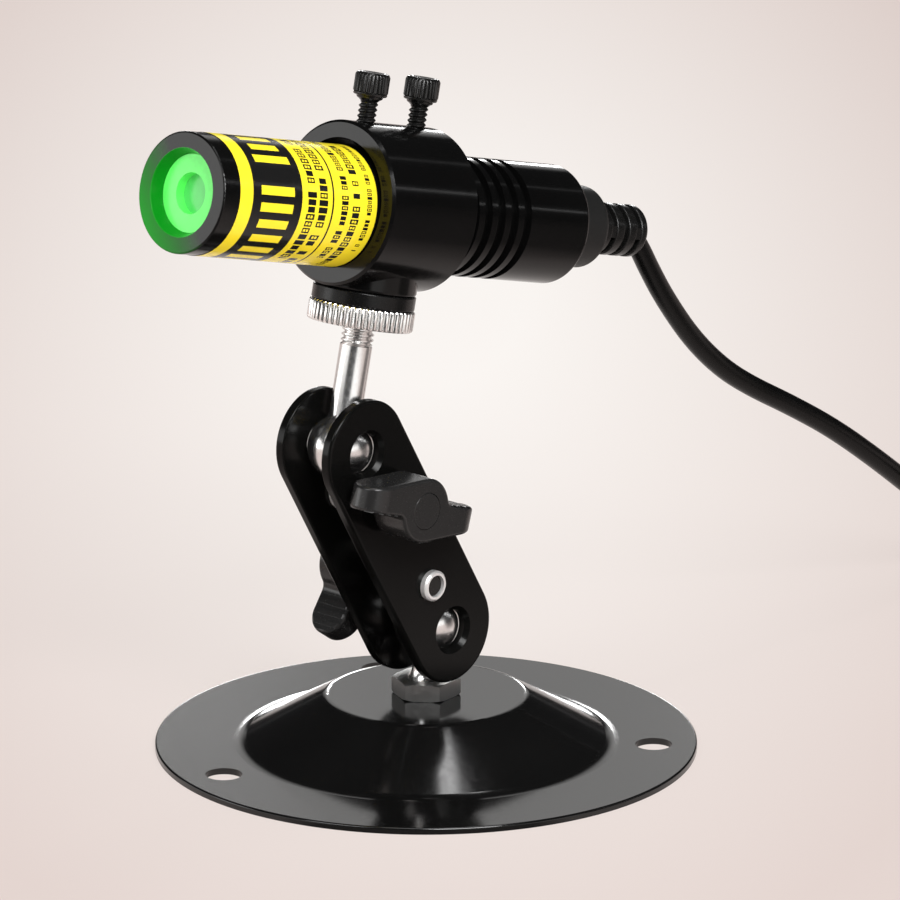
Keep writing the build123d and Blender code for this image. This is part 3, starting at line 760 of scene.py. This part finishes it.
# Thumb screws: knurled head, flared collar and an open thread
thumbLook = {
    "thumb_screw_front": -6.4, "thumb_screw_rear": 6.5,
    "tip": 54.97, "shoulder": 63.49, "head": 64.09, "headHeight": 4.3, "headRadius": 3.2,
    "knurlDepth": 0.24, "knurlCount": 26, "thread": 1.75, "threadDepth": 0.4, "pitch": 0.95,
    "coreOverlap": 0.03, "tipBevel": 0.25, "threadInsets": (0.2, 0.55), "collar": 2.5, "steps": 48,
    # the neck under the collar: out from the core, and down from the shoulder
    "neck": ((0.0, 0.75), (0.12, 0.45)),
    # the collar: in from its radius, and down from the shoulder
    "flare": ((0.55, 0.05), (0.15, -0.2)),
    # the head, from its foot and then from its top: in from its radius, height, share of the tooth's depth
    "foot": ((0.5, 0, 0), (0.2, 0.1, 0), (0.08, 0.32, 0), (0.08, 0.52, 0), (0.2, 0.6, 0), (0, 0.74, 1)),
    "top": ((0, 0.62, 1), (0.14, 0.34, 0.3), (0.3, 0.1, 0), (0.55, 0, 0), (0.95, 0, 0), (1.15, 0.14, 0)),
    "dish": 0.14,
    "sharpAngle": 36.0,
}


def makeThumbScrew(name, newName, body, look):
    core = look["thread"] - look["threadDepth"] + look["coreOverlap"]
    tip, shoulder = look["tip"], look["shoulder"]
    low, high, radius = look["head"], look["head"] + look["headHeight"], look["headRadius"]
    points = [(0, tip), (core - look["tipBevel"], tip), (core, tip + look["tipBevel"])]
    points += [(core + out, shoulder - down) for out, down in look["neck"]]
    points += [(look["collar"] - inset, shoulder - down) for inset, down in look["flare"]]
    points += [(look["collar"], low), (0, low)]
    bm = turnedShape(points, look["steps"])
    startInset, endInset = look["threadInsets"]
    threadInto(bm, look, tip + startInset, shoulder - endInset)
    layers = [(0, low, 0)]
    layers += [(radius - inset, low + rise, share) for inset, rise, share in look["foot"]]
    layers += [(radius - inset, high - drop, share) for inset, drop, share in look["top"]]
    layers.append((0, high - look["dish"], 0))
    toothedStack(bm, radius, look["knurlDepth"], look["knurlCount"], layers)
    place = studPlace @ Matrix.Translation((look[name] * mm, 0, 0))
    screw = finishPiece(bm, newName, place, body, "blackOxide", look["sharpAngle"])
    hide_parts(name)


makeThumbScrew("thumb_screw_front", "thumbScrewFront", "thumb_front", thumbLook)
makeThumbScrew("thumb_screw_rear", "thumbScrewRear", "thumb_rear", thumbLook)
print("thumb screws made")

# Strain relief: rings with rounded rims on a thinner stem, webs between them, and an open end
reliefLook = {
    "start": 103.1, "root": 0.6, "radius": 4.85, "stem": 3.85, "mouth": 3.0, "mouthDepth": 3.7, "lip": 0.3,
    "rings": ((103.1, 106.5), (107.65, 109.75), (110.9, 113.0), (114.15, 116.1)),
    "rim": 0.34, "endRim": 0.85, "footSteps": 5, "rimSteps": 8, "steps": 96,
    "web": 2.2, "webTop": 4.6, "webOverlap": 0.3, "sharpAngle": 50.0,
}


def makeStrainRelief(look):
    rim, radius, stem, mouth, lip = look["rim"], look["radius"], look["stem"], look["mouth"], look["lip"]
    rings, overlap = look["rings"], look["webOverlap"]
    points = [(0, look["start"] - look["root"]), (stem, look["start"] - look["root"])]
    for low, high in rings:
        isLast = (low, high) == rings[-1]
        topRim = look["endRim"] if isLast else rim
        points.append((stem, low))
        points += arcPoints((radius - rim, low + rim), rim, -90, 0, look["footSteps"])
        points += arcPoints((radius - topRim, high - topRim), topRim, 0, 90, look["rimSteps"])
        if not isLast:
            points.append((stem, high))
    end = rings[-1][1]
    points += [(mouth + lip, end), (mouth, end - lip)]
    points += [(mouth, end - look["mouthDepth"]), (0, end - look["mouthDepth"])]
    bm = turnedShape(points, look["steps"])
    reach = look["webTop"] - mouth - overlap
    for index, ((_, gapLow), (gapHigh, _)) in enumerate(zip(rings, rings[1:])):
        for turn in (0, 180):
            block = bmesh.ops.create_cube(bm, size=1)["verts"]
            bmesh.ops.scale(bm, verts=block, vec=(look["web"], reach, gapHigh - gapLow + overlap))
            bmesh.ops.translate(bm, verts=block, vec=(0, look["webTop"] - reach / 2, (gapLow + gapHigh) / 2))
            bmesh.ops.rotate(bm, verts=block, cent=(0, 0, 0),
                             matrix=Matrix.Rotation(math.radians(turn + 90 * index), 3, "Z"))
    relief = finishPiece(bm, "strainRelief", tubeAlong, "module", "reliefRubber",
                         look["sharpAngle"])
    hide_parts("strain_relief")
    return relief


strainRelief = makeStrainRelief(reliefLook)
print("strain relief made")

# Plug overmould: ringed neck, then a grip with shallow grooves
plugLook = {
    "end": (66.0, 177.8, 5.0), "before": (56.6, 183.4, 5.0),
    "neckStart": 3.0, "neckEnd": 4.2, "neckLength": 9.0, "startBevel": 0.4, "body": 5.0, "length": 29.0,
    "rim": 0.8, "rimSteps": 6, "steps": 72, "sharpAngle": 40.0,
    # each groove: half its width at the top and at the floor, then how far its lip and its floor lie in
    "neckGrooves": (2.0, 3.9, 5.8, 7.7), "neckGroove": (0.55, 0.4, 0.06, 0.6),
    "gripGrooves": (13.0, 15.2, 17.4, 19.6, 21.8), "gripGroove": (0.6, 0.25, 0.0, 0.35),
}


def groovePoints(radius, place, groove):
    halfTop, halfFloor, lip, depth = groove
    return [(radius - lip, place - halfTop), (radius - depth, place - halfFloor),
            (radius - depth, place + halfFloor), (radius - lip, place + halfTop)]


def makePlugBody(look):
    rim, inner, start = look["rim"], look["body"] - look["rim"], look["neckStart"]
    points = [(0, 0), (start - look["startBevel"], 0), (start, look["startBevel"])]
    for place in look["neckGrooves"]:
        radius = start + (look["neckEnd"] - start) * place / look["neckLength"]
        points += groovePoints(radius, place, look["neckGroove"])
    points += arcPoints((inner, look["neckLength"] + rim), rim, -90, 0, look["rimSteps"])
    for place in look["gripGrooves"]:
        points += groovePoints(look["body"], place, look["gripGroove"])
    points += arcPoints((inner, look["length"] - rim), rim, 0, 90, look["rimSteps"])
    points.append((0, look["length"]))
    bm = turnedShape(points, look["steps"])
    end, before = Vector(look["end"]) * mm, Vector(look["before"]) * mm
    place = placeAt(end, end - before, Vector((0, 0, 1)))
    plug = finishPiece(bm, "plugBody", place, "module", "cordRubber", look["sharpAngle"])
    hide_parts("plug_body")
    return plug


plugBody = makePlugBody(plugLook)
print("plug body made")

# Strap that holds the put-away coil
strapLook = {
    "inner": 15.75, "outer": 28.25, "low": 0.12, "high": 8.95, "width": 9.0, "corner": 2.4,
    "cornerSteps": 8, "thickness": 0.35, "angle": 250.0, "sharpAngle": 50.0,
}


def makeStrap(look):
    inner, outer, low, high, width = look["inner"], look["outer"], look["low"], look["high"], look["width"]
    bm = bmesh.new()
    box = bmesh.ops.create_cube(bm, size=1)["verts"]
    bmesh.ops.scale(bm, verts=box, vec=(outer - inner, width, high - low))
    long = [edge for edge in bm.edges if abs(edge.verts[0].co.y - edge.verts[1].co.y) > width / 2]
    bmesh.ops.bevel(bm, geom=long, offset=look["corner"], segments=look["cornerSteps"], profile=0.5,
                    affect="EDGES", material=-1)
    ends = [face for face in bm.faces if abs(face.normal.y) > 0.9]
    bmesh.ops.delete(bm, geom=ends, context="FACES_ONLY")
    bmesh.ops.recalc_face_normals(bm, faces=bm.faces)
    bmesh.ops.solidify(bm, geom=bm.faces[:], thickness=look["thickness"])
    bmesh.ops.translate(bm, verts=bm.verts, vec=((outer + inner) / 2, 0, (high + low) / 2))
    turn = Matrix.Rotation(math.radians(look["angle"]), 4, "Z")
    place = Matrix.Translation(Vector((*coilLook["centre"], 0)) * mm) @ turn
    return finishPiece(bm, "coilStrap", place, "module", "strapCloth", look["sharpAngle"])


coilStrap = makeStrap(strapLook)
print("coil strap made")


def makeCord(look):
    exitPoint = tubeFront + backAxis * look["reliefEnd"] * mm
    points = [exitPoint, exitPoint + backAxis * look["firstRun"] * mm]
    points += [Vector(p) * mm for p in cordLead + coilPoints(coilLook) + cordEnd]
    data = bpy.data.curves.new("cord", "CURVE")
    data.dimensions = "3D"
    data.bevel_depth = look["diameter"] / 2 * mm
    data.bevel_resolution = look["roundSteps"]
    data.resolution_u = look["lengthSteps"]
    data.use_fill_caps = True
    spline = data.splines.new("NURBS")
    spline.points.add(len(points) - 1)
    for control, point in zip(spline.points, points):
        control.co = (*point, 1)
    spline.order_u = 3
    spline.use_endpoint_u = True
    data.materials.append(materials["cordRubber"])
    cord = bpy.data.objects.new("cord", data)
    bpy.context.scene.collection.objects.link(cord)
    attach(cord, "module")
    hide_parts("cord_lead", "cord_coil", "cord_end")


makeCord(cordLook)
print("cord made")

# Floor, backdrop and light. The pale ground fades outwards from the picture's middle, and reflections also
# see dark gaps, two side panels and a window behind the object
viewTurn = math.radians(cameraLook["azimuth"])
viewAcross = Vector((math.cos(viewTurn), math.sin(viewTurn), 0))
viewAway = Vector((-math.sin(viewTurn), math.cos(viewTurn), 0))
stageLook = {
    "size": 6.0,
    "near": (0.96, 0.922, 0.89),
    "far": (0.738, 0.636, 0.602),
    "halfPicture": 0.082,
    "rise": 0.088,  # of the bright middle above the floor's centre, as the camera sees it
    "fade": (0.25, 1.6),  # in half pictures from the middle
    "litShare": 0.16,  # share of the seen floor that takes light and shadow
    "litColour": 0.95,
    "gapColour": (0.04, 0.0395, 0.0385),
    "paleReach": (0.75, 1.4),  # reflections see the floor darken between these distances
    "sideGapReach": (0.07, 0.15),
}
# Sectors that only reflections tell apart: middle azimuth, and the cosines where each fades in
sectors = {
    "cameraGap": (cameraLook["azimuth"], (0.84, 0.92)),
    "sideGap": (134.0, (0.945, 0.98)),
    "leftPanel": (322.0, (0.70, 0.80)),
    "rightPanel": (84.0, (0.85, 0.91)),
    "window": (cameraLook["azimuth"] + 180, (0.958, 0.986)),
}


def raysThatSee(tree):
    # Camera, glossy and transmission rays see the pale ground, and other rays meet the plain light
    path = addNode(tree, "LightPath")
    glossy = path.outputs["Is Glossy Ray"]
    bounced = larger(tree, glossy, path.outputs["Is Transmission Ray"])
    return larger(tree, path.outputs["Is Camera Ray"], bounced), glossy


def flatDirection(tree, vector):
    flat = addNode(tree, "VectorMath", operation="MULTIPLY")
    tree.links.new(vector, flat.inputs[0])
    flat.inputs[1].default_value = (1, 1, 0)
    unit = addNode(tree, "VectorMath", operation="NORMALIZE")
    tree.links.new(flat.outputs["Vector"], unit.inputs[0])
    return unit.outputs["Vector"]


def sectorMask(tree, heading, name):
    azimuth, sides = sectors[name]
    return rangeNode(tree, dotWith(tree, heading, outwards(azimuth, 0)), *sides)


def panelMask(tree, heading):
    return larger(tree, sectorMask(tree, heading, "leftPanel"), sectorMask(tree, heading, "rightPanel"))


def chooseShader(tree, factor, first, second):
    choose = addNode(tree, "MixShader")
    for socket, value in zip(choose.inputs, (factor, first, second)):
        feed(tree, socket, value)
    return choose.outputs[0]


def makeStage(look):
    bm = bmesh.new()
    bmesh.ops.create_grid(bm, x_segments=2, y_segments=2, size=look["size"])
    mesh = bpy.data.meshes.new("floor")
    bm.to_mesh(mesh)
    bm.free()
    floor = bpy.data.objects.new("floor", mesh)
    bpy.context.scene.collection.objects.link(floor)
    material = bpy.data.materials.new("floor")
    material.use_nodes = True
    tree = material.node_tree
    tree.nodes.clear()
    points = objectPoints(tree)
    half = look["halfPicture"]
    slant = math.sin(math.radians(cameraLook["elevation"]))
    across = dotWith(tree, points, viewAcross * (1 / half))
    upwards = dotWith(tree, points, viewAway * (slant / half))
    upwards = mathNode(tree, "SUBTRACT", upwards, look["rise"] / half)
    fade = rangeNode(tree, hypotenuse(tree, across, upwards), *look["fade"])
    colour = mixColours(tree, fade, look["near"], look["far"])
    seen, glossy = raysThatSee(tree)
    away = addNode(tree, "VectorMath", operation="LENGTH")
    tree.links.new(points, away.inputs[0])
    distance = away.outputs["Value"]
    heading = flatDirection(tree, points)
    distant = times(tree, mathNode(tree, "SUBTRACT", 1.0, panelMask(tree, heading)),
                    rangeNode(tree, distance, *look["paleReach"]))
    sideGap = times(tree, sectorMask(tree, heading, "sideGap"),
                    rangeNode(tree, distance, *look["sideGapReach"]))
    gaps = larger(tree, distant, larger(tree, sideGap, sectorMask(tree, heading, "cameraGap")))
    shown = addNode(tree, "Emission")
    shownColour = mixColours(tree, times(tree, glossy, gaps), colour, look["gapColour"])
    tree.links.new(shownColour, shown.inputs["Color"])
    lit = addNode(tree, "BsdfDiffuse")
    tree.links.new(mixColours(tree, look["litColour"], (0, 0, 0), colour), lit.inputs["Color"])
    shadowed = chooseShader(tree, look["litShare"], shown.outputs[0], lit.outputs[0])
    output = addNode(tree, "OutputMaterial")
    tree.links.new(chooseShader(tree, seen, lit.outputs[0], shadowed), output.inputs["Surface"])
    floor.data.materials.append(material)


# The room round the floor; heights are the sines of the angles above the floor
worldLook = {
    "ground": (0.80, 0.715, 0.68),
    "window": (0.88, 0.868, 0.855),
    "dark": (0.02, 0.02, 0.021),
    "windowFoot": (0.10, 0.17),
    "windowHead": (0.42, 0.56),
    "panel": (1.35, 1.33, 1.3),
    "panelHead": (0.2, 0.32),
    "ambient": 0.35,
    "ambientColour": (1, 0.98, 0.96),
}


def makeWorld(look):
    # Reflections meet a pale window behind the object, bright panels at its sides and a dark room round them
    world = bpy.data.worlds.new("studio")
    bpy.context.scene.world = world
    world.use_nodes = True
    tree = world.node_tree
    tree.nodes.clear()
    points = addNode(tree, "TexCoord").outputs["Generated"]
    split = addNode(tree, "SeparateXYZ")
    tree.links.new(points, split.inputs[0])
    height = split.outputs["Z"]
    heading = flatDirection(tree, points)
    upright = times(tree, rangeNode(tree, height, *look["windowFoot"]),
                    rangeNode(tree, height, *look["windowHead"], 1.0, 0.0))
    window = times(tree, sectorMask(tree, heading, "window"), upright)
    panel = times(tree, panelMask(tree, heading), rangeNode(tree, height, *look["panelHead"], 1.0, 0.0))
    seen, glossy = raysThatSee(tree)
    room = mixColours(tree, window, look["dark"], look["window"])
    room = mixColours(tree, panel, room, look["panel"])
    shown = addNode(tree, "Background")
    tree.links.new(mixColours(tree, glossy, look["ground"], room), shown.inputs["Color"])
    light = addNode(tree, "Background")
    feed(tree, light.inputs["Color"], look["ambientColour"])
    feed(tree, light.inputs["Strength"], look["ambient"])
    output = addNode(tree, "OutputWorld")
    tree.links.new(chooseShader(tree, seen, light.outputs[0], shown.outputs[0]), output.inputs["Surface"])


# Each lamp: azimuth round the object and elevation in degrees, distance, width and height in metres, watts
lamps = {
    "keySoftbox": (62, 42, 0.9, 0.4, 0.35, 8.0),
    "fillSoftbox": (0, 40, 1.0, 0.4, 0.35, 2.4),
    "topSoftbox": (40, 84, 0.9, 0.3, 0.3, 1.2),
    "coneStrip": (195, 72.5, 0.8, 0.06, 0.25, 0.42),
    "leftCard": (229, 5.5, 0.9, 0.09, 0.12, 0.56),
    "rightCard": (216, 7, 0.9, 0.06, 0.12, 0.32),
    "faceCard": (317, 10, 0.55, 0.2, 0.2, 0.3),
}
lampTarget = Vector((0, 0, 60)) * mm
# Long thin lamps beside the tube: angle round the tube from its right side, distance, width, length, radiance
tubeStrips = {
    "upperStrip": (77.0, 0.62, 0.03, 0.7, 0.55),
    "sideStrip": (32.8, 0.62, 0.022, 0.7, 3.0),
}
stripMiddle = tubeFront + backAxis * 60 * mm


def addLamp(name, place, rotation, width, height, power):
    data = bpy.data.lights.new(name, "AREA")
    data.shape = "RECTANGLE"
    data.size, data.size_y = width, height
    data.energy = power
    lamp = bpy.data.objects.new(name, data)
    bpy.context.scene.collection.objects.link(lamp)
    lamp.location = place
    lamp.rotation_mode = "QUATERNION"
    lamp.rotation_quaternion = rotation


def makeLamps():
    for name, (azimuth, elevation, distance, width, height, power) in lamps.items():
        back = outwards(azimuth, elevation)
        rotation = (-back).to_track_quat("-Z", "Y")
        addLamp(name, lampTarget + back * distance, rotation, width, height, power)
    for name, (angle, distance, width, length, radiance) in tubeStrips.items():
        turn = math.radians(angle)
        out = tubeSide * math.cos(turn) + studAxis * math.sin(turn)
        rotation = placeAt(Vector(), out, backAxis).to_quaternion()
        # The reflection runs on along the tube as far as it runs out from it
        place = stripMiddle + (out + backAxis) * distance
        addLamp(name, place, rotation, length, width, radiance * math.pi * width * length)


makeStage(stageLook)
makeWorld(worldLook)
makeLamps()
print("stage and lamps made")

# Finishes of the CAD pieces that stay as they are
nodeFinish = {
    "glossBlackPaint": ("foot_plate",),
    "platePaint": ("front_arm_plate", "back_arm_plate"),
    "nutSteel": ("hex_lock_nut", "base_washer", "base_nut"),
    "zincSteel": ("upper_insert", "lower_insert", "laser_diode"),
    "polishedSteel": ("plug_sleeve",),
    "blackOxide": ("upper_clamp_screw", "lower_clamp_screw"),
    "nylonBlack": ("upper_wing_knob", "lower_wing_knob", "upper_knob_cap", "lower_knob_cap"),
    "padBlack": ("pad_washer",),
    "anodisedBlack": ("holder_ring", "rear_housing"),
    "barrelBlack": ("front_barrel",),
    "wrapLabel": ("label_wrap",),
    "glowRing": ("aperture_ring",),
    "glowLens": ("lens",),
    "turnedBrass": ("lens_cell", "diode_slug"),
    "boardGreen": ("driver_board",),
    "darkPlastic": ("board_capacitor", "board_chip", "board_trimmer", "tail_collar", "plug_insulator"),
}
for finish, names in nodeFinish.items():
    for name in names:
        nodes[name].data.materials.clear()
        nodes[name].data.materials.append(materials[finish])
print("finishes set")

scene = bpy.context.scene
scene.view_settings.view_transform = "Standard"
